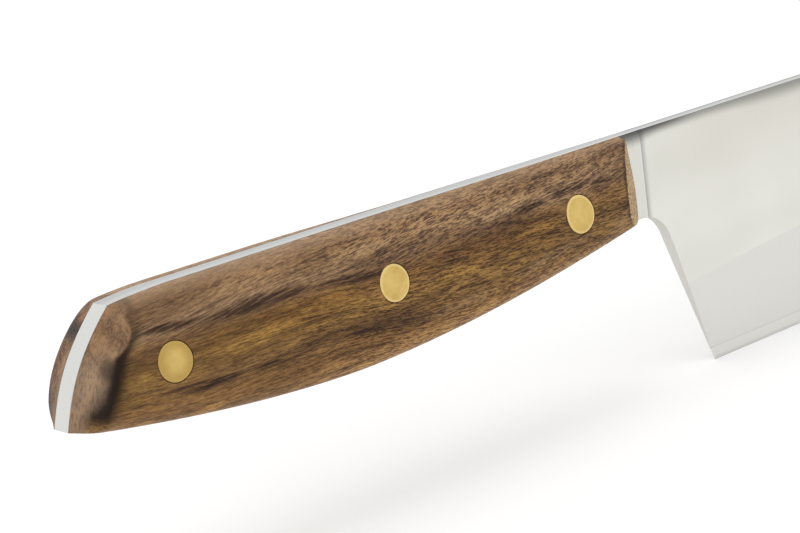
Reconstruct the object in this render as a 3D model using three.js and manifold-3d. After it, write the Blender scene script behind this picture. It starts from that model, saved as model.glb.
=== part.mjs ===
// A deba kitchen knife with a full tang between two wooden scales, held by three two-part rivets.
// Millimetres. +X runs from the butt to the tip, +Z from the cutting edge up to the spine.
// The knife stands on its edge, with the origin on the floor under the middle of its length.
import * as THREE from "three";
import { mergeVertices } from "three/addons/utils/BufferGeometryUtils.js";
import Module from "manifold-3d";

const wasm = await Module();
wasm.setup();

// Blade, with heights measured from the straight part of the edge
const BLADE_LENGTH = 160; // front of the scales to the point
const BLADE_HEIGHT = 47; // edge to spine at the heel
const SPINE_STRAIGHT = 83; // straight spine ahead of the scales
const SPINE_FULLNESS = 36; // how long the spine keeps its line before it drops to the point
const EDGE_STRAIGHT = 45; // straight edge ahead of the heel
const EDGE_FULLNESS = 52; // how long the edge keeps its line before it sweeps up to the point
const POINT_HEIGHT = 26; // edge line to the point
const POINT_BLUNTNESS = 0.8; // height of the blunted point
const POINT_THICKNESS = 0.8;
const POINT_TAPER = 34; // length over which the point thins
const FACE_THICKNESS = 2.4; // between the two ground faces
const THINNING_SHARE = 0.37; // share of the face above the bevel over which the blade thins
const BEVEL_THICKNESS = 1.7; // where the wide bevel starts
const SPINE_THICKNESS = 2.3; // across the top of the spine
const SPINE_SHOULDER = 2; // depth below the spine where the ground face turns flat
const BEVEL_HEEL = 15; // height of the wide bevel at the heel
const BEVEL_MIDDLE = 22; // height that the bevel line leans to further along
const BEVEL_LEAN_START = 64; // front of the scales to where it leans to that height
const BEVEL_LEAN_END = 112; // and to where it lets go of it
const BEVEL_LIMIT = 0.65; // share of the height that the bevel may take near the point
const HONED_HEIGHT = 2.6; // height of the honed edge
const HONED_THICKNESS = 0.6; // where the honed edge starts
const HONED_LIMIT = 0.3; // share of the bevel that the honed edge may take near the point
const SHOULDER_LIMIT = 0.7; // share of the flat face that the shoulder may take near the point

// Heel, behind which the fingers hang
const RICASSO_LENGTH = 3; // full-thickness band ahead of the scales
const RICASSO_HEIGHT = 15.9; // spine to the underside of the band and the front of the scales
const CHOIL_START = 1.8; // front of the scales to the start of the finger curve
const CHOIL_RADIUS = 7.4;
const HEEL_SLANT = 20.5; // degrees that the heel leans forward

// Tang and scales share one outline
const HANDLE_LENGTH = 122;
const TANG_THICKNESS = 3.5;
const BELLY_HEIGHT = 22.9; // tallest part of the handle
const BELLY_PLACE = 53.5; // butt to the tallest part
const BELLY_POWER = 1.75; // how the underside rises away from the belly
const BUTT_HEIGHT = 17.05; // spine line down to the bottom corner of the butt
const BUTT_SLANT = 10.1; // how far the top corner lies ahead of the bottom corner
const BUTT_CURVE = 0.57; // share of that slant in the curve of the butt
const BUTT_DROOP = 0.6; // drop of the top line at the butt
const DROOP_LENGTH = 11; // length of that drop
const HANDLE_THICKNESS = 18.4;
const FRONT_THICKNESS = 15.6; // at the front, before the scales slope down to the tang
const BUTT_THICKNESS = 16.2;
const WIDEST_LEVEL = 0.35; // level of the widest line, from the underside to the top
const CROWN_TOP = 2.4; // how far the side leans in at the top
const CROWN_BOTTOM = 1.2; // how far it leans in at the underside
const TOP_FALL_REAR = 0.1; // how far the top falls from the tang to its outer edge, at the butt
const TOP_FALL_FRONT = 0.8; // and at the front
const BOTTOM_RISE_FRONT = 0.8; // how far the underside rises from the tang to its outer edge, at the front
const TOP_ROUND = 4.4;
const TOP_ROUND_BUTT = 2.6;
const BOTTOM_ROUND = 5.2;
const BOTTOM_ROUND_BUTT = 3;
const ROUND_START = 0.3; // flat wood left between the tang and the rounding
const BUTT_ROUND_LENGTH = 5; // rear end of each scale, up to its full thickness
const BUTT_CORNER = 2.3; // how far ahead of the butt the corner of that end lies
const BUTT_EDGE = 0.4; // wood left beside the tang at the butt
const RAMP_ANGLE = 36; // degrees between the slope at the front of each scale and the tang
const RAMP_EDGE = 0.5; // wood left at the foot of that slope
const FRONT_CORNER_ROUND = 1.6;
const FRONT_LEAN = 1.1; // how far the front of the scales leans back at the top

// Rivets
const RIVET_COUNT = 3;
const REAR_RIVET_PLACE = 15.9; // butt to the rear rivet
const RIVET_PITCH = 43.05;
const REAR_RIVET_DEPTH = 10; // spine line down to the rear rivet
const FRONT_RIVET_DEPTH = 9.2; // and to the front rivet
const HEAD_DIAMETER = 6;
const SHANK_DIAMETER = 4;
const PIN_DIAMETER = 2.4;
const SEAT_WOOD = 4; // wood between the tang and each head
const SHANK_REACH = 2.5; // how far the socket's shank passes the tang
const PIN_REACH = 3; // how far the pin passes the tang
const HEAD_CLEARANCE = 0.1;
const SHANK_CLEARANCE = 0.15;
const PIN_CLEARANCE = 0.15;

// Fineness of the round forms
const ROUND_SIDES = 32;
const CORNER_STEPS = 5;
const CHOIL_STEPS = 12;
const SIDE_STEPS = 4;
const POINT_STEPS = 18;
const HANDLE_STEPS = 14;
const END_STEPS = 7;

const LENGTH = HANDLE_LENGTH + BLADE_LENGTH;
const HALF_TANG = TANG_THICKNESS / 2;
const RICASSO_FRONT = HANDLE_LENGTH + RICASSO_LENGTH;
const RICASSO_UNDERSIDE = BLADE_HEIGHT - RICASSO_HEIGHT;
const BEYOND = 20; // how far a cutting shape reaches past what it cuts

const steel = new THREE.MeshStandardMaterial({ color: 0xd9d7cf, roughness: 0.35, metalness: 1 });
const wood = new THREE.MeshStandardMaterial({ color: 0x7c6349, roughness: 0.6, metalness: 0 });
const brass = new THREE.MeshStandardMaterial({ color: 0xd1b36a, roughness: 0.35, metalness: 1 });

// Distances along the knife are counted from the butt and turned into the frame here
function alongX(distance) {
  return distance - LENGTH / 2;
}

function toSolid(geometry) {
  const bare = geometry.clone();
  bare.deleteAttribute("normal");
  bare.deleteAttribute("uv");
  const merged = mergeVertices(bare, 1e-4);
  const vertProperties = new Float32Array(merged.attributes.position.array);
  const triVerts = new Uint32Array(merged.index.array);
  return new wasm.Manifold(new wasm.Mesh({ numProp: 3, vertProperties, triVerts }));
}

function toGeometry(solid) {
  const mesh = solid.getMesh();
  const geometry = new THREE.BufferGeometry();
  geometry.setAttribute("position", new THREE.BufferAttribute(mesh.vertProperties, 3));
  geometry.setIndex(new THREE.BufferAttribute(mesh.triVerts, 1));
  geometry.computeVertexNormals();
  return geometry;
}

// A closed skin through rings of points that run anticlockwise as seen from +X, rear ring first
function loft(rings) {
  const count = rings[0].length;
  const positions = rings.flat().flatMap((point) => point.toArray());
  const triangles = [];
  for (let ring = 0; ring + 1 < rings.length; ring += 1) {
    for (let i = 0; i < count; i += 1) {
      const a = ring * count + i;
      const b = ring * count + ((i + 1) % count);
      triangles.push(a, b, b + count, a, b + count, a + count);
    }
  }
  const addEnd = (ring, turned) => {
    const centre = new THREE.Vector3();
    ring.forEach((point) => centre.addScaledVector(point, 1 / count));
    const hub = positions.length / 3;
    const first = rings.indexOf(ring) * count;
    positions.push(...centre.toArray());
    for (let i = 0; i < count; i += 1) {
      const a = first + i;
      const b = first + ((i + 1) % count);
      triangles.push(hub, ...(turned ? [b, a] : [a, b]));
    }
  };
  addEnd(rings[0], true);
  addEnd(rings[rings.length - 1], false);
  const geometry = new THREE.BufferGeometry();
  geometry.setAttribute("position", new THREE.Float32BufferAttribute(positions, 3));
  geometry.setIndex(triangles);
  return geometry;
}

// An outline in the plane of the blade, given its thickness evenly on both sides of that plane
function plate(shape, thickness, curveSegments) {
  const settings = { depth: thickness, bevelEnabled: false, curveSegments };
  const geometry = new THREE.ExtrudeGeometry(shape, settings);
  geometry.rotateX(Math.PI / 2);
  geometry.translate(0, thickness / 2, 0);
  return geometry;
}

// Height of a curve at a distance along the knife, for curves that only run forward
function heightAt(curve, distance) {
  let low = 0;
  let high = 1;
  for (let halving = 0; halving < 40; halving += 1) {
    const middle = (low + high) / 2;
    if (curve.getPoint(middle).x < distance) low = middle;
    else high = middle;
  }
  return curve.getPoint((low + high) / 2).y;
}

// The heel runs from the finger curve down to the edge
const slant = THREE.MathUtils.degToRad(HEEL_SLANT);
const CHOIL_CENTRE = new THREE.Vector2(HANDLE_LENGTH + CHOIL_START, RICASSO_UNDERSIDE - CHOIL_RADIUS);
const HEEL_TOP = new THREE.Vector2(
  CHOIL_CENTRE.x + CHOIL_RADIUS * Math.cos(slant),
  CHOIL_CENTRE.y + CHOIL_RADIUS * Math.sin(slant),
);
const HEEL_PLACE = HEEL_TOP.x + HEEL_TOP.y * Math.tan(slant);

const SPINE_BEND = HANDLE_LENGTH + SPINE_STRAIGHT;
const EDGE_BEND = HEEL_PLACE + EDGE_STRAIGHT;
const POINT_TOP = POINT_HEIGHT + POINT_BLUNTNESS / 2;
const POINT_BOTTOM = POINT_HEIGHT - POINT_BLUNTNESS / 2;
const spineDrop = new THREE.QuadraticBezierCurve(
  new THREE.Vector2(SPINE_BEND, BLADE_HEIGHT),
  new THREE.Vector2(SPINE_BEND + SPINE_FULLNESS, BLADE_HEIGHT),
  new THREE.Vector2(LENGTH, POINT_TOP),
);
const edgeSweep = new THREE.QuadraticBezierCurve(
  new THREE.Vector2(EDGE_BEND, 0),
  new THREE.Vector2(EDGE_BEND + EDGE_FULLNESS, 0),
  new THREE.Vector2(LENGTH, POINT_BOTTOM),
);
const bevelLine = new THREE.CubicBezierCurve(
  new THREE.Vector2(HANDLE_LENGTH, BEVEL_HEEL),
  new THREE.Vector2(HANDLE_LENGTH + BEVEL_LEAN_START, BEVEL_MIDDLE),
  new THREE.Vector2(HANDLE_LENGTH + BEVEL_LEAN_END, BEVEL_MIDDLE),
  new THREE.Vector2(LENGTH, POINT_TOP),
);

function spineHeight(distance) {
  return distance <= SPINE_BEND ? BLADE_HEIGHT : heightAt(spineDrop, distance);
}

function edgeHeight(distance) {
  return distance <= EDGE_BEND ? 0 : heightAt(edgeSweep, distance);
}

// One slice across the blade: shoulder under the spine, flat face, thinning face, wide bevel and honed edge
function bladeRing(distance) {
  const top = spineHeight(distance);
  const bottom = edgeHeight(distance);
  const bevel = Math.min(heightAt(bevelLine, distance), bottom + BEVEL_LIMIT * (top - bottom));
  const shoulder = Math.min(SPINE_SHOULDER, SHOULDER_LIMIT * (top - bevel));
  const honed = Math.min(HONED_HEIGHT, HONED_LIMIT * (bevel - bottom));
  const thinned = THREE.MathUtils.clamp((distance - LENGTH + POINT_TAPER) / POINT_TAPER, 0, 1);
  const thickness = THREE.MathUtils.lerp(1, POINT_THICKNESS / FACE_THICKNESS, thinned) / 2;
  const side = [
    [HONED_THICKNESS * thickness, bottom + honed],
    [BEVEL_THICKNESS * thickness, bevel],
    [FACE_THICKNESS * thickness, THREE.MathUtils.lerp(bevel, top - shoulder, THINNING_SHARE)],
    [FACE_THICKNESS * thickness, top - shoulder],
    [SPINE_THICKNESS * thickness, top],
  ];
  const left = side.map(([y, z]) => new THREE.Vector3(alongX(distance), y, z));
  const right = side.map(([y, z]) => new THREE.Vector3(alongX(distance), -y, z));
  return [new THREE.Vector3(alongX(distance), 0, bottom), ...left, ...right.reverse()];
}

function groundBlade() {
  const behindBand = (HANDLE_LENGTH + RICASSO_FRONT) / 2;
  const places = [behindBand, (behindBand + EDGE_BEND) / 2];
  for (let step = 0; step <= POINT_STEPS; step += 1) {
    places.push(EDGE_BEND + (LENGTH - EDGE_BEND) * Math.sin((Math.PI / 2) * (step / POINT_STEPS)));
  }
  return loft(places.map(bladeRing));
}

// The space behind the heel, taken out of the blade
function choilCutter() {
  const below = -BEYOND;
  const shape = new THREE.Shape();
  shape.moveTo(alongX(HANDLE_LENGTH - BEYOND), below);
  shape.lineTo(alongX(HEEL_TOP.x + (HEEL_TOP.y - below) * Math.tan(slant)), below);
  shape.lineTo(alongX(HEEL_TOP.x), HEEL_TOP.y);
  shape.absarc(alongX(CHOIL_CENTRE.x), CHOIL_CENTRE.y, CHOIL_RADIUS, slant, Math.PI / 2, false);
  shape.lineTo(alongX(HANDLE_LENGTH - BEYOND), RICASSO_UNDERSIDE);
  shape.closePath();
  return plate(shape, TANG_THICKNESS + BEYOND, CHOIL_STEPS);
}

// The handle's outline: top line, underside and butt
function topLine(distance) {
  const intoDroop = Math.max(0, BUTT_SLANT + DROOP_LENGTH - distance) / DROOP_LENGTH;
  return BLADE_HEIGHT - BUTT_DROOP * intoDroop ** 2;
}

function underside(distance) {
  const ahead = distance > BELLY_PLACE;
  const span = ahead ? HANDLE_LENGTH - BELLY_PLACE : BELLY_PLACE;
  const rise = BELLY_HEIGHT - (ahead ? RICASSO_HEIGHT : BUTT_HEIGHT);
  const away = Math.min(1, Math.abs(distance - BELLY_PLACE) / span);
  return BLADE_HEIGHT - BELLY_HEIGHT + rise * away ** BELLY_POWER;
}

function buttLine(level) {
  return BUTT_SLANT * ((1 - BUTT_CURVE) * level + BUTT_CURVE * level ** 3);
}

// Share of the way from the belly back to the butt, and on to the front
function behindBelly(place) {
  return Math.max(0, 1 - place / BELLY_PLACE);
}

function aheadOfBelly(place) {
  return Math.max(0, (place - BELLY_PLACE) / (HANDLE_LENGTH - BELLY_PLACE));
}

// The slant of the butt and the lean of the front fade out towards the belly
function leanAt(place, level) {
  return buttLine(level) * behindBelly(place) ** 2 - FRONT_LEAN * level * aheadOfBelly(place) ** 2;
}

// A point by its place along the handle and its level from underside to top, both drawn in by a drop
function handlePoint(place, level, y, lowDrop, highDrop) {
  const distance = place + leanAt(place, level);
  const low = underside(distance) + lowDrop;
  const high = topLine(distance) - highDrop;
  return new THREE.Vector3(alongX(distance), y, THREE.MathUtils.lerp(low, high, level));
}

function halfThickness(place) {
  const rearLoss = (HANDLE_THICKNESS - BUTT_THICKNESS) * behindBelly(place) ** 2;
  const frontLoss = (HANDLE_THICKNESS - FRONT_THICKNESS) * aheadOfBelly(place) ** 2;
  return (HANDLE_THICKNESS - rearLoss - frontLoss) / 2;
}

// Share of the scale's own thickness that is left near its rear end
function fullness(place) {
  if (place >= BUTT_ROUND_LENGTH) return 1;
  const corner = new THREE.Vector2(BUTT_CORNER, 1);
  const start = new THREE.Vector2(0, BUTT_EDGE / (halfThickness(place) - HALF_TANG));
  const end = new THREE.Vector2(BUTT_ROUND_LENGTH, 1);
  return heightAt(new THREE.CubicBezierCurve(start, corner, corner, end), place);
}

// One slice across the left scale, from the tang round the underside, side and top
function scaleRing(place) {
  const half = halfThickness(place);
  const height = topLine(place) - underside(place);
  const side = (level) => {
    const above = level > WIDEST_LEVEL;
    const away = above ? (level - WIDEST_LEVEL) / (1 - WIDEST_LEVEL) : 1 - level / WIDEST_LEVEL;
    return half - (above ? CROWN_TOP : CROWN_BOTTOM) * away ** 2;
  };
  const toButt = behindBelly(place) ** 2;
  const bottomRound = THREE.MathUtils.lerp(BOTTOM_ROUND, BOTTOM_ROUND_BUTT, toButt);
  const topRound = THREE.MathUtils.lerp(TOP_ROUND, TOP_ROUND_BUTT, toButt);
  const lowRound = Math.min(bottomRound, side(0) - HALF_TANG - ROUND_START);
  const highRound = Math.min(topRound, side(1) - HALF_TANG - ROUND_START);
  const lowLevel = lowRound / height;
  const highLevel = 1 - highRound / height;
  const lowCorner = new THREE.QuadraticBezierCurve(
    new THREE.Vector2(side(0) - lowRound, 0),
    new THREE.Vector2(side(0), 0),
    new THREE.Vector2(side(lowLevel), lowLevel),
  );
  const highCorner = new THREE.QuadraticBezierCurve(
    new THREE.Vector2(side(highLevel), highLevel),
    new THREE.Vector2(side(1), 1),
    new THREE.Vector2(side(1) - highRound, 1),
  );
  const section = [new THREE.Vector2(HALF_TANG, 0), ...lowCorner.getPoints(CORNER_STEPS)];
  for (let step = 1; step < SIDE_STEPS; step += 1) {
    const level = THREE.MathUtils.lerp(lowLevel, highLevel, step / SIDE_STEPS);
    section.push(new THREE.Vector2(side(level), level));
  }
  section.push(...highCorner.getPoints(CORNER_STEPS), new THREE.Vector2(HALF_TANG, 1));
  const intoCorner = Math.max(0, place - HANDLE_LENGTH + FRONT_CORNER_ROUND);
  const cornerDrop = FRONT_CORNER_ROUND - Math.sqrt(FRONT_CORNER_ROUND ** 2 - intoCorner ** 2);
  const topFall = THREE.MathUtils.lerp(TOP_FALL_REAR, TOP_FALL_FRONT, place / HANDLE_LENGTH);
  const bottomRise = BOTTOM_RISE_FRONT * aheadOfBelly(place);
  return section.map((point) => {
    const own = point.x - HALF_TANG;
    const rise = (bottomRise * own) / (side(0) - HALF_TANG);
    const fall = (topFall * own) / (side(1) - HALF_TANG);
    const y = HALF_TANG + own * fullness(place);
    return handlePoint(place, point.y, y, cornerDrop + rise, cornerDrop + fall);
  });
}

// Places along the handle: close together over the rounded ends and wide apart between them
function handlePlaces() {
  const roundedFront = HANDLE_LENGTH - FRONT_CORNER_ROUND;
  const places = [];
  for (let step = 0; step <= END_STEPS; step += 1) {
    places.push(BUTT_ROUND_LENGTH * (1 - Math.cos((Math.PI / 2) * (step / END_STEPS))));
  }
  for (let step = 1; step <= HANDLE_STEPS; step += 1) {
    places.push(THREE.MathUtils.lerp(BUTT_ROUND_LENGTH, roundedFront, step / HANDLE_STEPS));
  }
  for (let step = 1; step <= END_STEPS; step += 1) {
    const turn = (Math.PI / 2) * (step / END_STEPS);
    places.push(roundedFront + FRONT_CORNER_ROUND * Math.sin(turn));
  }
  return places;
}

function tangOutline() {
  const places = handlePlaces();
  const top = places.map((place) => handlePoint(place, 1, 0, 0, 0));
  const bottom = places.map((place) => handlePoint(place, 0, 0, 0, 0));
  const butt = [];
  for (let step = 1; step < HANDLE_STEPS; step += 1) {
    butt.push(handlePoint(0, step / HANDLE_STEPS, 0, 0, 0));
  }
  const band = [
    new THREE.Vector3(alongX(RICASSO_FRONT), 0, RICASSO_UNDERSIDE),
    new THREE.Vector3(alongX(RICASSO_FRONT), 0, BLADE_HEIGHT),
  ];
  const loop = [...bottom, ...band, ...top.reverse(), ...butt.reverse()];
  return new THREE.Shape(loop.map((point) => new THREE.Vector2(point.x, point.z)));
}

// The wood that is cut away where the left scale slopes down to the tang
function rampCutter() {
  const rise = BEYOND * Math.tan(THREE.MathUtils.degToRad(RAMP_ANGLE));
  const foot = HALF_TANG + RAMP_EDGE;
  const lean = FRONT_LEAN / RICASSO_HEIGHT;
  const leaning = new THREE.Matrix4().makeShear(0, 0, 0, 0, -lean, 0);
  const shape = new THREE.Shape();
  shape.moveTo(alongX(HANDLE_LENGTH + BEYOND), foot - rise);
  shape.lineTo(alongX(HANDLE_LENGTH + BEYOND), foot + rise);
  shape.lineTo(alongX(HANDLE_LENGTH - BEYOND), foot + rise);
  shape.closePath();
  const geometry = new THREE.ExtrudeGeometry(shape, { depth: BLADE_HEIGHT + BEYOND, bevelEnabled: false });
  geometry.translate(0, 0, -RICASSO_UNDERSIDE);
  geometry.applyMatrix4(leaning);
  return geometry.translate(0, 0, RICASSO_UNDERSIDE);
}

// A round bar across the knife, centred on a rivet
function crossBar(diameter, from, to, centre) {
  const geometry = new THREE.CylinderGeometry(diameter / 2, diameter / 2, to - from, ROUND_SIDES);
  geometry.translate(centre.x, (from + to) / 2, centre.z);
  return toSolid(geometry);
}

function rivetCentres() {
  const centres = [];
  for (let index = 0; index < RIVET_COUNT; index += 1) {
    const share = RIVET_COUNT > 1 ? index / (RIVET_COUNT - 1) : 0;
    const depth = THREE.MathUtils.lerp(REAR_RIVET_DEPTH, FRONT_RIVET_DEPTH, share);
    const distance = REAR_RIVET_PLACE + index * RIVET_PITCH;
    centres.push(new THREE.Vector3(alongX(distance), 0, BLADE_HEIGHT - depth));
  }
  return centres;
}

const centres = rivetCentres();
const uncutScale = toSolid(loft(handlePlaces().map(scaleRing))).subtract(toSolid(rampCutter()));
const HEAD_SEAT = HALF_TANG + SEAT_WOOD;
const OUTSIDE = HANDLE_THICKNESS / 2 + BEYOND;

function bladeAndTang() {
  let solid = toSolid(groundBlade()).subtract(toSolid(choilCutter()));
  solid = solid.add(toSolid(plate(tangOutline(), TANG_THICKNESS)));
  for (const centre of centres) {
    solid = solid.subtract(crossBar(SHANK_DIAMETER + 2 * SHANK_CLEARANCE, -OUTSIDE, OUTSIDE, centre));
  }
  return toGeometry(solid);
}

function drilledScale() {
  let solid = uncutScale;
  for (const centre of centres) {
    solid = solid.subtract(crossBar(SHANK_DIAMETER + 2 * SHANK_CLEARANCE, -OUTSIDE, OUTSIDE, centre));
    solid = solid.subtract(crossBar(HEAD_DIAMETER + 2 * HEAD_CLEARANCE, HEAD_SEAT, OUTSIDE, centre));
  }
  return toGeometry(solid);
}

// Each head is ground flush with the wood around it
function rivetHead(centre) {
  return crossBar(HEAD_DIAMETER, HEAD_SEAT, OUTSIDE, centre).intersect(uncutScale);
}

function rivetSocket(centre) {
  const shankEnd = -HALF_TANG - SHANK_REACH;
  const boreEnd = HALF_TANG + PIN_REACH + PIN_CLEARANCE;
  const shank = crossBar(SHANK_DIAMETER, shankEnd, HEAD_SEAT + HEAD_CLEARANCE, centre);
  const bore = crossBar(PIN_DIAMETER + 2 * PIN_CLEARANCE, shankEnd - BEYOND, boreEnd, centre);
  return toGeometry(rivetHead(centre).add(shank).subtract(bore));
}

// Drawn on the left like the socket, and turned to the right side where it is placed
function rivetPin(centre) {
  const pin = crossBar(PIN_DIAMETER, -HALF_TANG - PIN_REACH, HEAD_SEAT + HEAD_CLEARANCE, centre);
  return toGeometry(rivetHead(centre).add(pin));
}

function piece(name, geometry, material) {
  const mesh = new THREE.Mesh(geometry, material);
  mesh.name = name;
  return mesh;
}

const knife = new THREE.Group();
const rightSide = new THREE.Group();
rightSide.scale.y = -1;
knife.add(piece("blade_and_tang", bladeAndTang(), steel));
knife.add(piece("left_scale", drilledScale(), wood));
rightSide.add(piece("right_scale", drilledScale(), wood));
const rivetNames = ["rear", "middle", "front"];
centres.forEach((centre, index) => {
  const name = rivetNames[index] ?? `extra_${index}`;
  knife.add(piece(`${name}_rivet_socket`, rivetSocket(centre), brass));
  rightSide.add(piece(`${name}_rivet_pin`, rivetPin(centre), brass));
});
knife.add(rightSide);

export default knife;
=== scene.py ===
"""A deba knife standing on its edge: ground steel blade and tang, wooden scales, brass rivets."""
import math

import bmesh
import bpy
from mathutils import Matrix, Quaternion, Vector
from mathutils.bvhtree import BVHTree


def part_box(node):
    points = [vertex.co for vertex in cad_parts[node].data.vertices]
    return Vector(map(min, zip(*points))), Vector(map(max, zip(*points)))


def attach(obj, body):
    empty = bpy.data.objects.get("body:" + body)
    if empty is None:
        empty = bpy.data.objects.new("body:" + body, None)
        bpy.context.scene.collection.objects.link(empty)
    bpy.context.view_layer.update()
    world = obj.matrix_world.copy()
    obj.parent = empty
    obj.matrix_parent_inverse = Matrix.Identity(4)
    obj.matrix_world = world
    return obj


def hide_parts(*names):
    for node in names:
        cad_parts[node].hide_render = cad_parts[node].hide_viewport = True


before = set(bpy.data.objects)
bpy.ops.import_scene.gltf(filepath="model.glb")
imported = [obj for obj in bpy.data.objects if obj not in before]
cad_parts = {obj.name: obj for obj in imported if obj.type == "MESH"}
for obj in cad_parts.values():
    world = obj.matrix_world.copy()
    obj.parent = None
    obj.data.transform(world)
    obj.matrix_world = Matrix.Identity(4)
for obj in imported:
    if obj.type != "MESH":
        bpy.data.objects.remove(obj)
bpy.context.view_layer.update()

MM = 0.001

# Sizes that the frame gives. Distances along the knife are counted from the butt.
steel_low, steel_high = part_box("blade_and_tang")
scale_low, scale_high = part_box("left_scale")
BUTT = steel_low.x
LENGTH = steel_high.x - BUTT
SPINE = steel_high.z
HANDLE_LENGTH = scale_high.x - BUTT
HALF_TANG = scale_low.y
HALF_HANDLE = scale_high.y
BELLY_HEIGHT = SPINE - scale_low.z

# Blade
SPINE_BEND = HANDLE_LENGTH + 83 * MM  # where the spine starts to drop
SPINE_FULLNESS = 36 * MM  # the larger the fullness, the longer a curve stays straight
EDGE_STRAIGHT = 45 * MM  # straight edge ahead of the heel
EDGE_FULLNESS = 52 * MM
POINT_HEIGHT = 26 * MM
POINT_BLUNTNESS = 0.8 * MM
POINT_THINNING = 0.33  # share of the thickness left at the point
POINT_TAPER = 34 * MM  # length over which the steel thins to the point
HALF_FACE = 1.2 * MM  # middle of the blade to its flat face
THINNING_SHARE = 0.37  # share of the face above the bevel over which the blade thins
THINNING_POWER = 1.4
HALF_BEVEL = 0.85 * MM  # where the wide bevel starts
BEVEL_HEEL = 15 * MM  # height of the bevel line below the handle's front, and further on
BEVEL_MIDDLE = 22 * MM
BEVEL_LEAN_START = 64 * MM
BEVEL_LEAN_END = 112 * MM
BEVEL_LIMIT = 0.65  # share of the blade's height that the bevel may take near the point
HONED_HEIGHT = 2.6 * MM
HALF_HONED = 0.3 * MM
HONED_LIMIT = 0.3  # share of the bevel that the honed strip may take near the point
HALF_EDGE = 0.05 * MM
LINE_EASE = 0.12 * MM  # rounding of the bevel and honed lines
LINE_EASE_LIMIT = 0.3  # share of what lies beside a line that its rounding may take
STRIP_HALF = 1.05 * MM  # half the flat left on top of the spine, ahead of the band
STRIP_START = 65 * MM  # where that flat starts to narrow
STRIP_CROWN = 0.1 * MM
STRIP_LIMIT = 0.9  # share of the blade's thickness that the flat may take
LIP_ROUNDING = 0.75  # drop of the tang's sides for each millimetre that the flat narrows
SHOULDER = 2 * MM  # depth over which the spine rounds into the faces of the blade
SHOULDER_LIMIT = 0.16  # share of the blade's height that the shoulder may take near the point

# Band ahead of the scales, finger curve and heel
BAND_LENGTH = 3 * MM
BAND_FRONT = HANDLE_LENGTH + BAND_LENGTH
BAND_END = BUTT + BAND_FRONT
BAND_BLEND = 1 * MM  # the shoulder changes over this length on each side of the handle's front
PLUNGE_LENGTH = 2.2 * MM  # hollow from the band down to the face of the blade
BAND_HEIGHT = 15.9 * MM
CHOIL_PLACE = HANDLE_LENGTH + 1.8 * MM
CHOIL_RADIUS = 7.4 * MM
HEEL_SLANT = math.radians(20.5)
HEEL_EASE = 0.2 * MM
HEEL_ROUNDING = 0.3  # how full the eased corner of the heel is

# Handle
BELLY_PLACE = 53.5 * MM
TOP_SAG = 0.25 * MM  # how far the top line sags from the belly to the front
BELLY_POWER = 1.75
BUTT_HEIGHT = 17.05 * MM
BUTT_SLANT = 10.1 * MM
BUTT_CURVE = 0.57
BUTT_DROOP = 0.6 * MM
DROOP_LENGTH = 11 * MM
HALF_FRONT = 7.8 * MM
HALF_BUTT = 8.1 * MM
WIDEST_LEVEL = 0.35
CROWN_TOP = 2.4 * MM
CROWN_BOTTOM = 1.2 * MM
TOP_FALL_REAR = 0.1 * MM
TOP_FALL_FRONT = 1.5 * MM
TOP_FALL_START = 40 * MM  # between these places the top of the scales takes on its full fall
TOP_FALL_END = 82 * MM
BOTTOM_RISE_FRONT = 0.8 * MM
TOP_ROUND = 4.4 * MM
TOP_ROUND_BUTT = 2.6 * MM
BOTTOM_ROUND = 5.2 * MM
BOTTOM_ROUND_BUTT = 3 * MM
ROUND_START = 0.3 * MM
BUTT_ROUND_LENGTH = 5 * MM  # rear end of each scale, up to its full thickness
BUTT_CORNER = 2.3 * MM  # how far ahead of the butt the corner of that end lies
BUTT_EDGE = 0.4 * MM  # wood left beside the tang at the butt
FRONT_LEAN = 1 * MM  # how far the front of the scales leans back at the top
FRONT_LEAN_POWER = 2.5
RAMP_SLOPE = math.tan(math.radians(37.5))
RAMP_EDGE = 0.5 * MM
RAMP_SOFTNESS = 0.35 * MM
FRONT_CORNER_ROUND = 1.2 * MM

# Rivets
HEAD_RADII = {"rear": 3.1 * MM, "middle": 3.05 * MM, "front": 3.3 * MM}  # as ground flush with the wood
SHANK_RADIUS = 2 * MM
PIN_RADIUS = 1.2 * MM
SEAT_WOOD = 4 * MM
SHANK_REACH = 2.5 * MM
PIN_REACH = 3 * MM
HEAD_CLEARANCE = 0.1 * MM
SHANK_CLEARANCE = 0.15 * MM
PIN_CLEARANCE = 0.15 * MM
RIM_EASE = 0.16 * MM
HEAD_SEAT = HALF_TANG + SEAT_WOOD
OUTSIDE = HALF_HANDLE + 20 * MM

# Fineness
WELD = 0.004 * MM
ROUND_STEPS = 72
TURN_START = 0.03  # where a turned shape starts, off the lines along the handle
RIM_STEPS = 5
HEAD_SHARES = (0, 0.2, 0.4, 0.6, 0.78)
PINHOLE_SIDES = 8
SHARP_ANGLE = math.radians(32)
SOLVER_STEPS = 40
LEAN_STEPS = 16
TANG_STEPS = 44
TANG_CROWDING = 1.3  # slices of the tang stand closer towards the butt
TANG_SIDE_STEPS = 15
BAND_STEPS = 12
BAND_STOP = 0.1 * MM  # the band's own slices end this far behind its front
PLUNGE_STEPS = 12
CHOIL_STEPS = 22
HEEL_STEPS = 12
BLADE_STEPS = 46
BEVEL_STEPS = 3
THINNING_STEPS = 5
FACE_STEPS = 4
SHOULDER_SHARES = (0.2, 0.4, 0.58, 0.74, 0.86, 0.95, 0.99)
CORNER_STEPS = 12
SIDE_STEPS = 18
SCALE_BUTT_STEPS = 20
SCALE_STEPS = 48
SCALE_FRONT = 8 * MM  # slices of the scales stand closer over this length
SCALE_FRONT_STEPS = 26
FRONT_CORNER_STEPS = 10

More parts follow.
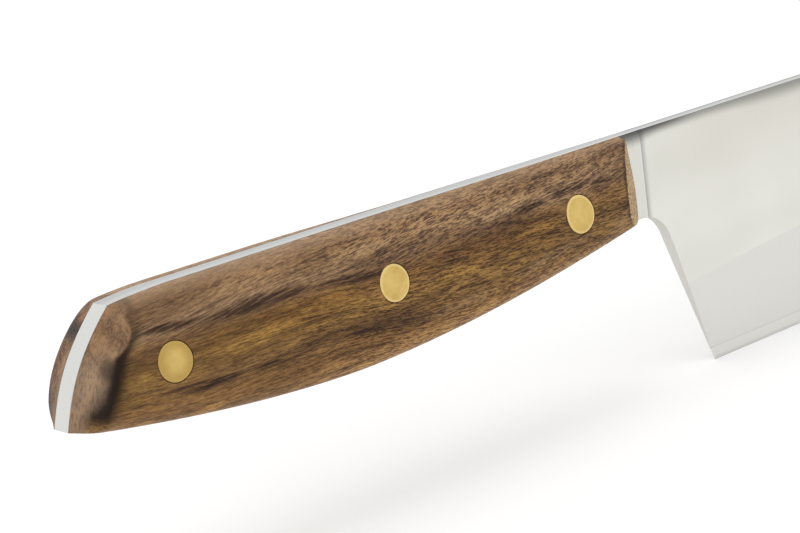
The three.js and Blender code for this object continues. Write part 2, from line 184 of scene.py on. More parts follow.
BLADE_TOP = SPINE - TOP_SAG
BAND_UNDERSIDE = SPINE - BAND_HEIGHT
CHOIL_LEVEL = BAND_UNDERSIDE - CHOIL_RADIUS
HEEL_TOP = Vector((
    CHOIL_PLACE + CHOIL_RADIUS * math.cos(HEEL_SLANT),
    CHOIL_LEVEL + CHOIL_RADIUS * math.sin(HEEL_SLANT),
))
HEEL_PLACE = HEEL_TOP.x + HEEL_TOP.y * math.tan(HEEL_SLANT)
EDGE_BEND = HEEL_PLACE + EDGE_STRAIGHT
POINT_TOP = POINT_HEIGHT + POINT_BLUNTNESS / 2
POINT_BOTTOM = POINT_HEIGHT - POINT_BLUNTNESS / 2

SPINE_DROP = [
    Vector((SPINE_BEND, BLADE_TOP)),
    Vector((SPINE_BEND + SPINE_FULLNESS, BLADE_TOP)),
    Vector((LENGTH, POINT_TOP)),
]
EDGE_SWEEP = [
    Vector((EDGE_BEND, 0)),
    Vector((EDGE_BEND + EDGE_FULLNESS, 0)),
    Vector((LENGTH, POINT_BOTTOM)),
]
BEVEL_LINE = [
    Vector((HANDLE_LENGTH, BEVEL_HEEL)),
    Vector((HANDLE_LENGTH + BEVEL_LEAN_START, BEVEL_MIDDLE)),
    Vector((HANDLE_LENGTH + BEVEL_LEAN_END, BEVEL_MIDDLE)),
    Vector((LENGTH, POINT_TOP)),
]


def clamp(value, low=0.0, high=1.0):
    return max(low, min(high, value))


def lerp(start, end, share):
    return start + (end - start) * share


def ease(share):
    share = clamp(share)
    return share * share * (3 - 2 * share)


def steps(start, end, count):
    return [lerp(start, end, step / count) for step in range(count + 1)]


def bezier(points, share):
    while len(points) > 1:
        points = [a.lerp(b, share) for a, b in zip(points, points[1:])]
    return points[0]


def bezier_height(points, distance):
    """Height at a distance along the knife, on a curve that only runs forward."""
    low, high = 0.0, 1.0
    for _ in range(SOLVER_STEPS):
        middle = (low + high) / 2
        if bezier(points, middle).x < distance:
            low = middle
        else:
            high = middle
    return bezier(points, low).y


# Outline of the blade

def spine_height(distance):
    """Top of the blade, which carries on from the top line of the handle."""
    return BLADE_TOP if distance <= SPINE_BEND else bezier_height(SPINE_DROP, distance)


def edge_height(distance):
    return 0.0 if distance <= EDGE_BEND else bezier_height(EDGE_SWEEP, distance)


def bevel_height(distance):
    low = edge_height(distance)
    limit = low + BEVEL_LIMIT * (spine_height(distance) - low)
    return min(bezier_height(BEVEL_LINE, max(distance, HANDLE_LENGTH)), limit)


def honed_height(distance):
    low = edge_height(distance)
    return low + min(HONED_HEIGHT, HONED_LIMIT * (bevel_height(distance) - low))


def thinning_height(distance):
    shoulder = spine_height(distance) - shoulder_depth(distance)
    return lerp(bevel_height(distance), shoulder, THINNING_SHARE)


def heel_height(distance):
    """Underside of the band, finger curve and slanted heel."""
    if distance <= CHOIL_PLACE:
        return BAND_UNDERSIDE
    if distance <= HEEL_TOP.x:
        return CHOIL_LEVEL + math.sqrt(CHOIL_RADIUS ** 2 - (distance - CHOIL_PLACE) ** 2)
    return HEEL_TOP.y - (distance - HEEL_TOP.x) / math.tan(HEEL_SLANT)


# Outline of the handle, which the tang and the scales share

def top_line(distance):
    into_droop = max(0.0, BUTT_SLANT + DROOP_LENGTH - distance) / DROOP_LENGTH
    return SPINE - BUTT_DROOP * into_droop ** 2 - TOP_SAG * ease(ahead_of_belly(distance))


def underside(distance):
    ahead = distance > BELLY_PLACE
    span = HANDLE_LENGTH - BELLY_PLACE if ahead else BELLY_PLACE
    rise = BELLY_HEIGHT - (BAND_HEIGHT if ahead else BUTT_HEIGHT)
    away = min(1.0, abs(distance - BELLY_PLACE) / span)
    return SPINE - BELLY_HEIGHT + rise * away ** BELLY_POWER


def behind_belly(place):
    return clamp(1 - place / BELLY_PLACE)


def ahead_of_belly(place):
    return clamp((place - BELLY_PLACE) / (HANDLE_LENGTH - BELLY_PLACE))


def butt_lean(place, level):
    """How far the slanted butt carries a place forward. It fades out towards the belly."""
    line = (1 - BUTT_CURVE) * level + BUTT_CURVE * level ** 3
    return BUTT_SLANT * line * behind_belly(place) ** 2


def front_lean(place, level):
    return FRONT_LEAN * level ** FRONT_LEAN_POWER * ahead_of_belly(place) ** 2


def handle_point(distance, level, y, low_drop=0.0, high_drop=0.0):
    """A point by its distance from the butt and its level from underside to top."""
    low = underside(distance) + low_drop
    high = top_line(distance) - high_drop
    return Vector((BUTT + distance, y, lerp(low, high, level)))


def strip_half(distance):
    """Half width of the flat on top of the tang and spine."""
    share = clamp((distance - STRIP_START) / (BAND_FRONT - STRIP_START))
    return lerp(HALF_TANG, STRIP_HALF, share ** 2)


def wood_drop(distance):
    """How far the sides of the tang round down from its top, under the lips of the scales."""
    return LIP_ROUNDING * (HALF_TANG - strip_half(distance))


def shoulder_depth(distance):
    """Depth over which the sides round into the top, on the tang and on the blade."""
    if distance < HANDLE_LENGTH - BAND_BLEND:
        return wood_drop(distance)
    full = min(SHOULDER, SHOULDER_LIMIT * (spine_height(distance) - edge_height(distance)))
    onto_band = ease((distance - HANDLE_LENGTH + BAND_BLEND) / (2 * BAND_BLEND))
    return lerp(wood_drop(HANDLE_LENGTH), full, onto_band)


def steel_top(distance):
    return top_line(distance) if distance < HANDLE_LENGTH else spine_height(distance)


def ramp_wood(place):
    """Wood that the facet at the front of a scale leaves beside the tang."""
    return RAMP_EDGE + (HANDLE_LENGTH - place) * RAMP_SLOPE


# Skins

def wrap_skin(slices):
    """A closed skin over slices that each hold two chains of points from the bottom up."""
    rounds = [near + far[::-1] + near[:1] for near, far in slices]
    along = len(rounds) - 1
    around = len(rounds[0]) - 1
    skin = bmesh.new()
    bmesh.ops.create_grid(skin, x_segments=along, y_segments=around, size=0.5)
    for vert in skin.verts:
        row = rounds[round((vert.co.x + 0.5) * along)]
        vert.co = row[round((vert.co.y + 0.5) * around)]
    bmesh.ops.remove_doubles(skin, verts=skin.verts, dist=WELD)
    bmesh.ops.dissolve_degenerate(skin, edges=skin.edges, dist=WELD / 2)
    bmesh.ops.recalc_face_normals(skin, faces=skin.faces)
    return skin


def face_half(distance, z):
    """Half thickness of the steel at a height: honed edge, wide bevel, flat face and band."""
    low = edge_height(distance)
    honed = honed_height(distance)
    bevel = bevel_height(distance)
    if z < honed:
        half = lerp(HALF_EDGE, HALF_HONED, clamp((z - low) / (honed - low)))
    elif z < bevel:
        half = lerp(HALF_HONED, HALF_BEVEL, (z - honed) / (bevel - honed))
    else:
        left_to_thin = 1 - clamp((z - bevel) / (thinning_height(distance) - bevel))
        half = HALF_FACE - (HALF_FACE - HALF_BEVEL) * left_to_thin ** THINNING_POWER
    half *= lerp(1, POINT_THINNING, clamp((distance - LENGTH + POINT_TAPER) / POINT_TAPER))
    left_of_plunge = 1 - clamp((distance - BAND_FRONT) / PLUNGE_LENGTH)
    return half + (HALF_TANG - half) * (1 - math.sqrt(1 - left_of_plunge ** 2))


def steel_half(distance, z):
    """Half thickness with the shoulder that rounds up into the spine."""
    half = face_half(distance, z)
    strip = min(strip_half(distance), STRIP_LIMIT * half)
    depth = shoulder_depth(distance)
    below = clamp((spine_height(distance) - z) / max(depth, WELD))
    return half - (half - strip) * (1 - below) ** 2


def blade_heights(distance, shoulder):
    """Heights up the side of the blade, two beside each grinding line so that it is eased."""
    low = edge_height(distance)
    honed = honed_height(distance)
    bevel = bevel_height(distance)
    thinning = thinning_height(distance)
    line = min(LINE_EASE, LINE_EASE_LIMIT * (honed - low), LINE_EASE_LIMIT * (thinning - bevel))
    heights = [low, honed - line]
    heights += steps(honed + line, bevel - line, BEVEL_STEPS)
    heights += steps(bevel + line, thinning, THINNING_STEPS)
    return heights + steps(thinning, shoulder, FACE_STEPS)[1:]


def steel_slice(distance):
    """Points up both sides of the tang or of the blade, from the middle to the middle."""
    on_handle = distance < HANDLE_LENGTH
    top = steel_top(distance)
    bottom = underside(distance) if on_handle else max(edge_height(distance), heel_height(distance))
    on_heel = not on_handle and bottom > edge_height(distance) + HEEL_EASE
    corner = HEEL_EASE if on_heel else 0.0
    shoulder = top - shoulder_depth(distance)
    if on_handle:
        heights = steps(bottom, shoulder, TANG_SIDE_STEPS)
    else:
        heights = blade_heights(distance, shoulder)
    heights += [lerp(shoulder, top, share) for share in SHOULDER_SHARES]
    half_top = steel_half(distance, top)
    half_bottom = steel_half(distance, bottom + corner)
    rounding = HEEL_ROUNDING * corner
    section = [(0.0, bottom), (max(0.0, half_bottom - corner), bottom)]
    section += [(half_bottom - rounding, bottom + rounding)]
    section += [(steel_half(distance, z), z) for z in (max(h, bottom + corner) for h in heights)]
    crown = STRIP_CROWN * ease((distance - HANDLE_LENGTH) / BAND_LENGTH)
    section += [(half_top, top - crown), (half_top / 2, top - crown / 4), (0.0, top)]

    def place_point(y, z):
        if not on_handle:
            return Vector((BUTT + distance, y, z))
        level = (z - bottom) / (top - bottom)
        return handle_point(distance + butt_lean(distance, level), level, y)

    return [place_point(-y, z) for y, z in section], [place_point(y, z) for y, z in section]


def on_middle_plane(slice_of_steel):
    near, far = slice_of_steel
    return [Vector((p.x, 0, p.z)) for p in near], [Vector((p.x, 0, p.z)) for p in far]


def heel_meeting(line, offset):
    """Where a grinding line, moved by an offset, runs out at the slanted heel."""
    meeting = HEEL_TOP.x
    for _ in range(SOLVER_STEPS):
        meeting = HEEL_TOP.x + (HEEL_TOP.y - line(meeting) + offset) * math.tan(HEEL_SLANT)
    return meeting


def steel_places():
    """Slices stand close where the outline turns: at the butt, plunge, finger curve and point."""
    quarter = math.pi / 2
    places = [HANDLE_LENGTH * (step / TANG_STEPS) ** TANG_CROWDING for step in range(TANG_STEPS + 1)]
    places += steps(HANDLE_LENGTH - BAND_BLEND, BAND_FRONT - BAND_STOP, BAND_STEPS)
    for turn in steps(0, quarter, PLUNGE_STEPS):
        places.append(BAND_FRONT + PLUNGE_LENGTH * (1 - math.cos(turn)))
    for turn in steps(HEEL_SLANT, quarter, CHOIL_STEPS):
        places.append(CHOIL_PLACE + CHOIL_RADIUS * math.cos(turn))
    places += steps(HEEL_TOP.x, HEEL_PLACE, HEEL_STEPS)
    for line in (bevel_height, honed_height):
        for offset in (-LINE_EASE, LINE_EASE):
            places.append(heel_meeting(line, offset))
    places += [lerp(HEEL_PLACE, LENGTH, math.sin(turn)) for turn in steps(0, quarter, BLADE_STEPS)]
    kept = []
    for place in sorted(places):
        if not kept or place - kept[-1] > 4 * WELD:
            kept.append(place)
    return kept


def shape_steel():
    slices = [steel_slice(place) for place in steel_places()]
    return wrap_skin([on_middle_plane(slices[0]), *slices, on_middle_plane(slices[-1])])


def scale_section(place):
    """Half-width and level of points from the tang round the underside, side and top."""
    to_butt = behind_belly(place) ** 2
    to_front = ahead_of_belly(place) ** 2
    half = HALF_HANDLE - (HALF_HANDLE - HALF_BUTT) * to_butt - (HALF_HANDLE - HALF_FRONT) * to_front
    height = top_line(place) - underside(place)

    def side(level):
        above = level > WIDEST_LEVEL
        lean = (level - WIDEST_LEVEL) / (1 - WIDEST_LEVEL) if above else 1 - level / WIDEST_LEVEL
        return half - (CROWN_TOP if above else CROWN_BOTTOM) * lean ** 2

    low_round = min(lerp(BOTTOM_ROUND, BOTTOM_ROUND_BUTT, to_butt), side(0) - HALF_TANG - ROUND_START)
    high_round = min(lerp(TOP_ROUND, TOP_ROUND_BUTT, to_butt), side(1) - HALF_TANG - ROUND_START)
    low_level = low_round / height
    high_level = 1 - high_round / height
    low_corner = [
        Vector((side(0) - low_round, 0)), Vector((side(0), 0)), Vector((side(low_level), low_level)),
    ]
    high_corner = [
        Vector((side(high_level), high_level)), Vector((side(1), 1)), Vector((side(1) - high_round, 1)),
    ]
    section = [Vector((HALF_TANG, 0))]
    section += [bezier(low_corner, share) for share in steps(0, 1, CORNER_STEPS)]
    section += [Vector((side(level), level)) for level in steps(low_level, high_level, SIDE_STEPS)[1:-1]]
    section += [bezier(high_corner, share) for share in steps(0, 1, CORNER_STEPS)]
    section += [Vector((HALF_TANG, 1))]
    return section, side(0) - HALF_TANG, side(1) - HALF_TANG


def butt_round(wood):
    """How the rear end of a scale swells from the tang to its full thickness of wood."""
    start = Vector((0, BUTT_EDGE / wood))
    corner = Vector((BUTT_CORNER, 1))
    return [start, corner, corner, Vector((BUTT_ROUND_LENGTH, 1))]


def scale_slice(place, hand):
    """Points round the outside of a scale, and beside them the points on its flat inner face."""
    section, wood_low, wood_high = scale_section(place)
    left = 1.0
    if place < BUTT_ROUND_LENGTH:
        left = bezier_height(butt_round(HALF_BUTT - HALF_TANG), place)
    into_corner = max(0.0, place - HANDLE_LENGTH + FRONT_CORNER_ROUND)
    corner = FRONT_CORNER_ROUND - math.sqrt(FRONT_CORNER_ROUND ** 2 - into_corner ** 2)
    lip = wood_drop(place)
    falling = ease((place - TOP_FALL_START) / (TOP_FALL_END - TOP_FALL_START))
    outer_drop = lerp(TOP_FALL_REAR, TOP_FALL_FRONT, falling)
    to_strip = HALF_TANG - strip_half(place)
    outer_rise = BOTTOM_RISE_FRONT * ahead_of_belly(place)
    ramp = ramp_wood(place)
    outside = []
    inside = []
    for point in section:
        wood = point.x - HALF_TANG
        rise = corner + outer_rise * wood / wood_low
        drop = corner + outer_drop * (wood + to_strip) / (wood_high + to_strip)
        wood *= left
        wood = max(0.0, (wood + ramp - math.hypot(wood - ramp, RAMP_SOFTNESS)) / 2)
        distance = place + butt_lean(place, point.y) - front_lean(place, point.y)
        outside.append(handle_point(distance, point.y, hand * (HALF_TANG + wood), rise, drop))
        inside.append(handle_point(distance, point.y, hand * HALF_TANG, rise, drop + lip))
    edge = handle_point(distance, 1, hand * strip_half(distance), 0, corner)
    return [*outside, edge], [*inside, edge]


def shape_scale(hand):
    front = HANDLE_LENGTH - SCALE_FRONT
    corner = HANDLE_LENGTH - FRONT_CORNER_ROUND
    rear_end = butt_round(HALF_BUTT - HALF_TANG)
    places = [bezier(rear_end, share).x for share in steps(0, 1, SCALE_BUTT_STEPS)]
    places += steps(BUTT_ROUND_LENGTH, front, SCALE_STEPS)[1:]
    places += steps(front, corner, SCALE_FRONT_STEPS)[1:]
    for turn in steps(0, math.pi / 2, FRONT_CORNER_STEPS)[1:]:
        places.append(corner + FRONT_CORNER_ROUND * math.sin(turn))
    slices = [scale_slice(place, hand) for place in places]
    ends = [(inside, inside) for _, inside in (slices[0], slices[-1])]
    return wrap_skin([ends[0], *slices, ends[1]])


# Round pieces turned about a rivet's axis

def turn_round(profile, centre):
    """Spins a profile of (radius, y) points about the axis across the knife at a centre."""
    turned = bmesh.new()
    out = Vector((math.cos(TURN_START), 0, math.sin(TURN_START)))
    middle = Vector((centre.x, 0, centre.z))
    corners = [turned.verts.new(middle + radius * out + Vector((0, y, 0))) for radius, y in profile]
    edges = [turned.edges.new(pair) for pair in zip(corners, corners[1:])]
    bmesh.ops.spin(
        turned, geom=corners + edges, cent=(centre.x, 0, centre.z), axis=(0, 1, 0),
        angle=math.tau, steps=ROUND_STEPS, use_merge=True,
    )
    bmesh.ops.remove_doubles(turned, verts=turned.verts, dist=WELD)
    bmesh.ops.recalc_face_normals(turned, faces=turned.faces)
    return turned


def mesh_of(shape, name):
    mesh = bpy.data.meshes.new(name)
    shape.to_mesh(mesh)
    shape.free()
    return mesh


def bench_object(shape):
    bench = bpy.data.objects.new("bench", mesh_of(shape, "bench"))
    bpy.context.scene.collection.objects.link(bench)
    return bench


def mend(mesh):
    """Takes out the slivers and closes the pinholes that a cut leaves."""
    shape = bmesh.new()
    shape.from_mesh(mesh)
    bmesh.ops.remove_doubles(shape, verts=shape.verts, dist=WELD / 2)
    bmesh.ops.dissolve_degenerate(shape, edges=shape.edges, dist=WELD / 4)
    open_edges = [edge for edge in shape.edges if edge.is_boundary]
    bmesh.ops.holes_fill(shape, edges=open_edges, sides=PINHOLE_SIDES)
    bmesh.ops.recalc_face_normals(shape, faces=shape.faces)
    shape.to_mesh(mesh)
    shape.free()


def drill(blank, cutters):
    """Takes the cutters out of the blank and returns the drilled mesh."""
    work = bench_object(blank)
    tools = [bench_object(cutter) for cutter in cutters]
    for tool in tools:
        cut = work.modifiers.new("hole", "BOOLEAN")
        cut.operation = "DIFFERENCE"
        cut.solver = "EXACT"
        cut.object = tool
    depsgraph = bpy.context.evaluated_depsgraph_get()
    drilled = bpy.data.meshes.new_from_object(work.evaluated_get(depsgraph))
    for bench in [work, *tools]:
        bench_mesh = bench.data
        bpy.data.objects.remove(bench)
        bpy.data.meshes.remove(bench_mesh)
    mend(drilled)
    return drilled


def shank_hole(centre):
    radius = SHANK_RADIUS + SHANK_CLEARANCE
    return turn_round([(0, -OUTSIDE), (radius, -OUTSIDE), (radius, OUTSIDE), (0, OUTSIDE)], centre)


def stepped_hole(centre, hand, head):
    narrow = SHANK_RADIUS + SHANK_CLEARANCE
    wide = head + HEAD_CLEARANCE
    profile = [(0, 0), (narrow, 0), (narrow, HEAD_SEAT), (wide, HEAD_SEAT), (wide, OUTSIDE), (0, OUTSIDE)]
    return turn_round([(radius, hand * y) for radius, y in profile], centre)


def head_profile(head):
    """Depths below the wood, from the middle of the head out over its rim and down to its seat."""
    face = [(head * share, 0.0) for share in HEAD_SHARES]
    rim = []
    for turn in steps(0, math.pi / 2, RIM_STEPS):
        rim.append((head - RIM_EASE * (1 - math.sin(turn)), RIM_EASE * (1 - math.cos(turn))))
    return face + rim


def shape_rivet(centre, hand, head, inner, wood):
    """A head that follows the wood, on a shank whose profile from the seat inwards is given."""
    crown = [(radius, OUTSIDE - depth) for radius, depth in head_profile(head)]
    profile = crown + [(head, HEAD_SEAT)] + inner
    rivet = turn_round([(radius, hand * y) for radius, y in profile], centre)
    for vert in rivet.verts:
        depth = OUTSIDE - abs(vert.co.y)
        if depth < SEAT_WOOD:
            start = Vector((vert.co.x, hand * OUTSIDE, vert.co.z))
            surface = wood.ray_cast(start, Vector((0, -hand, 0)))[0]
            vert.co.y = surface.y - hand * depth
    return rivet


def socket_shank():
    end = -HALF_TANG - SHANK_REACH
    bore = PIN_RADIUS + PIN_CLEARANCE
    bore_end = HALF_TANG + PIN_REACH + PIN_CLEARANCE
    return [(SHANK_RADIUS, HEAD_SEAT), (SHANK_RADIUS, end), (bore, end), (bore, bore_end), (0, bore_end)]


def pin_shank():
    end = -HALF_TANG - PIN_REACH
    return [(PIN_RADIUS, HEAD_SEAT), (PIN_RADIUS, end), (0, end)]


# Materials

def paint(red, green, blue):
    """A screen colour from 0 to 255 as the linear colour that a socket takes."""
    shares = [value / 255 for value in (red, green, blue)]
    linear = [s / 12.92 if s <= 0.04045 else ((s + 0.055) / 1.055) ** 2.4 for s in shares]
    return (*linear, 1.0)


# Colours of the scales' sides. A pair goes from dark to light, and a tint multiplies the colour under it.
BROWN = paint(110, 78, 47), paint(142, 105, 66)
# Greyer brown for the upper zone: partly the wood's own tone there, partly painted sheen where light falls on
# the top.
UPPER_BROWN_AND_SHEEN = paint(118, 91, 70), paint(146, 117, 92)
GOLDEN_BROWN = paint(156, 117, 66)
PALE_BROWN = paint(172, 141, 108)
STREAK_BROWN = paint(64, 44, 32)
VEIN_BROWN = paint(50, 33, 24)
# Painted highlight along the rounded top edge of the scales.
TOP_EDGE_SHEEN = paint(166, 134, 100)
FLECK_TINTS = (0.38, 0.34, 0.42, 1), (1.66, 1.7, 1.5, 1)
# Tints by height up the side, partly the wood's own bands and partly painted light and shade; the pale tints
# at the bottom edge are painted light thrown up from the floor.
HEIGHT_TINTS_AND_PAINTED_LIGHT = [
    (0.0, (1.44, 1.5, 1.5, 1)), (0.08, (1.3, 1.34, 1.3, 1)), (0.22, (0.72, 0.7, 0.66, 1)),
    (0.36, (0.69, 0.7, 0.7, 1)), (0.5, (0.9, 0.92, 0.8, 1)), (0.64, (0.69, 0.63, 0.53, 1)),
    (0.76, (0.95, 0.95, 0.95, 1)), (0.92, (0.88, 0.83, 0.73, 1)), (1.0, (1.0, 0.98, 0.94, 1)),
]

# Colours of the end grain at the butt
END_BROWN = paint(106, 79, 58), paint(140, 108, 78)
END_PALE = paint(170, 150, 128)
END_DARK_THREAD = paint(60, 43, 33)
END_LIGHT_THREAD = paint(150, 116, 84)
LEFT_END_DARK = paint(62, 42, 28)
LEFT_END_RED = paint(158, 106, 70)
LEFT_END_PATCH = paint(40, 32, 28)
RIGHT_END_PATCH = paint(52, 38, 30)
# Painted shade along the rounded corner where the end grain turns into the side, and a lighter painted shade
# beside it.
END_CORNER_SHADE = paint(28, 14, 6)
BESIDE_END_CORNER_SHADE = paint(62, 41, 20)

# Colours of the facet at the front of the scales
FACET_BROWN = paint(174, 142, 102), paint(208, 176, 132)
FACET_FLECK_TINTS = (0.72, 0.7, 0.7, 1), (1.28, 1.3, 1.28, 1)
FACET_VEIN = paint(92, 66, 44)
FACET_BORDER = paint(58, 40, 28)

# Colours of the steel
LOW_FACE = (0.73, 0.72, 0.665, 1), (0.78, 0.77, 0.715, 1)
# Darker, warmer steel high on the blade ahead of the band: a painted reflection of the surroundings.
HIGH_FACE_PAINTED_REFLECTION = (0.66, 0.645, 0.58, 1), (0.71, 0.695, 0.635, 1)
GRIND_LINE = (0.82, 0.81, 0.77, 1)
BEVEL_STEEL = (0.72, 0.71, 0.675, 1)
HONED_STEEL = (0.755, 0.75, 0.725, 1)
HONED_LINE = (0.48, 0.475, 0.45, 1)
EDGE_STEEL = (0.50, 0.50, 0.485, 1)
HEEL_STEEL = (0.56, 0.55, 0.51, 1), (0.64, 0.63, 0.59, 1)
# Painted shade in the hollow where the band drops to the face.
PLUNGE_SHADE = (0.34, 0.335, 0.32, 1)
BAND_STEEL = (0.67, 0.66, 0.615, 1)
# Painted highlight along the band's front edge.
BAND_EDGE_HIGHLIGHT = (0.80, 0.795, 0.76, 1)
# Painted shade below the spine, where the sides round up into it.
SHOULDER_SHADE = (0.07, 0.07, 0.066, 1)
# Top of the tang and spine, darker on the far half and lighter on the near half: a painted reflection.
TOP_STEEL_AND_PAINTED_REFLECTION = (0.51, 0.52, 0.51, 1), (0.62, 0.63, 0.62, 1)
# Painted highlight along the near edge of the strip on top.
TOP_EDGE_HIGHLIGHT = (0.72, 0.73, 0.72, 1)
BUTT_STEEL = (0.70, 0.70, 0.68, 1)

# Colours of the brass
RUBBED_BRASS = (0.58, 0.40, 0.125, 1), (0.68, 0.485, 0.165, 1)
BRIGHT_LINE = (0.78, 0.60, 0.26, 1)
DARK_LINE = (0.42, 0.28, 0.08, 1)
# Painted highlights in the middle of each head and round its rim.
MIDDLE_HIGHLIGHT = (0.78, 0.58, 0.22, 1)
RIM_HIGHLIGHT = (0.84, 0.66, 0.30, 1)
TARNISHED_BRASS = (0.40, 0.255, 0.068, 1)

# Threads in the wood, with their size along each axis in millimetres and their detail
BROAD_TONES = (40, 9, 5), 1.5
GOLDEN_PATCHES = (16, 6, 2.4), 2.5
LEANING_THREADS = {
    "streak": ((18, 1.8, 0.8), 3.0), "vein": ((9, 0.6, 0.22), 2.0),
    "thread": ((3.2, 0.5, 0.25), 4.0), "pore": ((1.0, 0.3, 0.15), 2.0),
}
WANDER = 3 * MM  # how far the grain swings up and down
LOWER_LEAN = math.radians(-2)
UPPER_LEAN = math.radians(6)
LEAN_CHANGE = 37.5 * MM, 42.5 * MM  # heights between which the grain's lean changes

# Marks on the right scale: start and end in millimetres from the butt and above the edge, height, strength
RIGHT_SIDE = -8.6 * MM
MARK_DEPTH = 5 * MM
MARK_OVERRUN = 1.25  # a mark fades out past its ends
DARK_MARKS = [
    ((8, 43.2), (24, 41.9), 1.2, 0.8), ((18, 41.9), (46, 40.3), 1.5, 0.95),
    ((40, 40.6), (64, 39.4), 1.2, 0.85), ((12, 33.2), (30, 31.7), 1.2, 0.9),
    ((26, 31.7), (46, 31.6), 1.1, 0.8), ((44, 31.6), (68, 30.7), 1.0, 0.65),
    ((66, 38.5), (78, 39.6), 0.9, 0.6), ((67, 37.8), (76, 37.6), 0.8, 0.75),
    ((78, 35.6), (84, 35.8), 0.7, 0.5), ((81, 41.4), (90, 39.8), 0.8, 0.6),
    ((85, 41.2), (97, 42.3), 1.1, 0.75), ((94, 42.6), (107, 42.8), 1.1, 0.95),
    ((104, 42.6), (114, 41.6), 0.9, 0.7), ((92, 36.6), (98, 36.8), 0.7, 0.5),
]
GOLDEN_MARKS = [
    ((5, 34), (12, 37), 1.6, 0.8), ((16, 39.4), (36, 38.6), 1.8, 0.5),
    ((20, 36.2), (42, 36), 2.3, 0.9), ((42, 35), (68, 34.9), 2.0, 0.6),
    ((68, 36.0), (80, 34.8), 1.3, 0.5), ((84, 38.2), (98, 38), 1.3, 0.55),
    ((40, 38.6), (52, 38.6), 1.3, 0.4), ((64, 32.2), (102, 35), 2.0, 0.6),
]
LIGHT_MARKS = [
    ((18, 44.9), (48, 44.6), 1.6, 0.4), ((46, 44.4), (62, 44.4), 1.7, 0.7),
    ((66, 43.5), (104, 43.3), 2.0, 0.65), ((92, 44.7), (122, 44.9), 2.2, 0.8),
    ((108, 33), (121, 36), 2.5, 0.4), ((62, 30.3), (84, 31.4), 1.4, 0.3),
    ((82, 31.4), (106, 34), 1.5, 0.35),
]


def find_socket(sockets, name):
    for socket in sockets:
        if socket.identifier == name:
            return socket
    return sockets[name]


def add_node(tree, kind, sockets=None, **settings):
    node = tree.nodes.new("ShaderNode" + kind)
    for name, value in settings.items():
        setattr(node, name, value)
    for name, value in (sockets or {}).items():
        socket = find_socket(node.inputs, name)
        if isinstance(value, bpy.types.NodeSocket):
            tree.links.new(value, socket)
        else:
            socket.default_value = value
    return node


def object_place(tree):
    return add_node(tree, "TexCoord").outputs["Object"]


def axes_of(tree, vector):
    return add_node(tree, "SeparateXYZ", {"Vector": vector}).outputs


def marks_of(tree, *names):
    """What the piece's own attributes of these names say at each point."""
    return [add_node(tree, "Attribute", attribute_name=name).outputs["Fac"] for name in names]


def calculate(tree, operation, first, second=0.5, third=0.5, bounded=False):
    """One step of arithmetic."""
    sockets = {"Value": first, "Value_001": second, "Value_002": third}
    return add_node(tree, "Math", sockets, operation=operation, use_clamp=bounded).outputs["Value"]


def product(tree, value, *others):
    for other in others:
        value = calculate(tree, "MULTIPLY", value, other)
    return value


def what_is_left(tree, share):
    return calculate(tree, "SUBTRACT", 1.0, share)


def vector_step(tree, operation, first, second):
    """One step of vector arithmetic."""
    sockets = {"Vector": first, "Vector_001": second}
    return add_node(tree, "VectorMath", sockets, operation=operation).outputs["Vector"]


def vector_length(tree, vector):
    return add_node(tree, "VectorMath", {"Vector": vector}, operation="LENGTH").outputs["Value"]


def turn_about_y(tree, vector, **sockets):
    return add_node(tree, "VectorRotate", {"Vector": vector, "Axis": (0, 1, 0), **sockets}).outputs["Vector"]


def fade(tree, value, start, end, low=0.0, high=1.0):
    """A soft step from low to high as the value goes from start to end."""
    sockets = {"Value": value, "From Min": start, "From Max": end, "To Min": low, "To Max": high}
    node = add_node(tree, "MapRange", sockets, interpolation_type="SMOOTHSTEP", clamp=True)
    return node.outputs["Result"]


def blend_colours(tree, share, first, second, how="MIX"):
    sockets = {"Factor_Float": share, "A_Color": first, "B_Color": second}
    node = add_node(tree, "Mix", sockets, data_type="RGBA", blend_type=how)
    return find_socket(node.outputs, "Result_Color")


def tinted(tree, colour, tint):
    return blend_colours(tree, 1.0, colour, tint, "MULTIPLY")


def lay_coats(tree, colour, *coats):
    """Lays colours over a colour one by one, each with the share that it covers."""
    for share, coat in coats:
        colour = blend_colours(tree, share, colour, coat)
    return colour


def colour_run(tree, value, stops):
    node = add_node(tree, "ValToRGB", {"Fac": value})
    elements = node.color_ramp.elements
    elements[0].position, elements[0].color = stops[0]
    elements[-1].position, elements[-1].color = stops[-1]
    for position, colour in stops[1:-1]:
        elements.new(position).color = colour
    return node.outputs["Color"]


def new_group(name, **inputs):
    """A node group with the inputs that it is given and the one value that it puts out."""
    group = bpy.data.node_groups.new(name, "ShaderNodeTree")
    for socket, kind in inputs.items():
        group.interface.new_socket(socket, in_out="INPUT", socket_type="NodeSocket" + kind)
    group.interface.new_socket("Value", in_out="OUTPUT", socket_type="NodeSocketFloat")
    given = group.nodes.new("NodeGroupInput").outputs
    result = group.nodes.new("NodeGroupOutput").inputs["Value"]
    return group, given, result


def fibre_group():
    """Long threads of light and dark, of a given size along each axis."""
    group, given, result = new_group("fibres", Vector="Vector", Size="Vector", Detail="Float")
    stretched = vector_step(group, "DIVIDE", given["Vector"], given["Size"])
    sockets = {"Vector": stretched, "Scale": 1.0, "Detail": given["Detail"], "Roughness": 0.55}
    group.links.new(add_node(group, "TexNoise", sockets).outputs["Fac"], result)
    return group


def streak_group():
    """A long soft mark at a centre, turned in the plane of the blade."""
    inputs = {"Vector": "Vector", "Centre": "Vector", "Size": "Vector", "Turn": "Float"}
    group, given, result = new_group("streak_mark", **inputs)
    turned = turn_about_y(group, given["Vector"], Center=given["Centre"], Angle=given["Turn"])
    offset = vector_step(group, "SUBTRACT", turned, given["Centre"])
    reach = vector_length(group, vector_step(group, "DIVIDE", offset, given["Size"]))
    group.links.new(fade(group, reach, 1.0, 0.25), result)
    return group


FIBRES = fibre_group()
STREAK = streak_group()


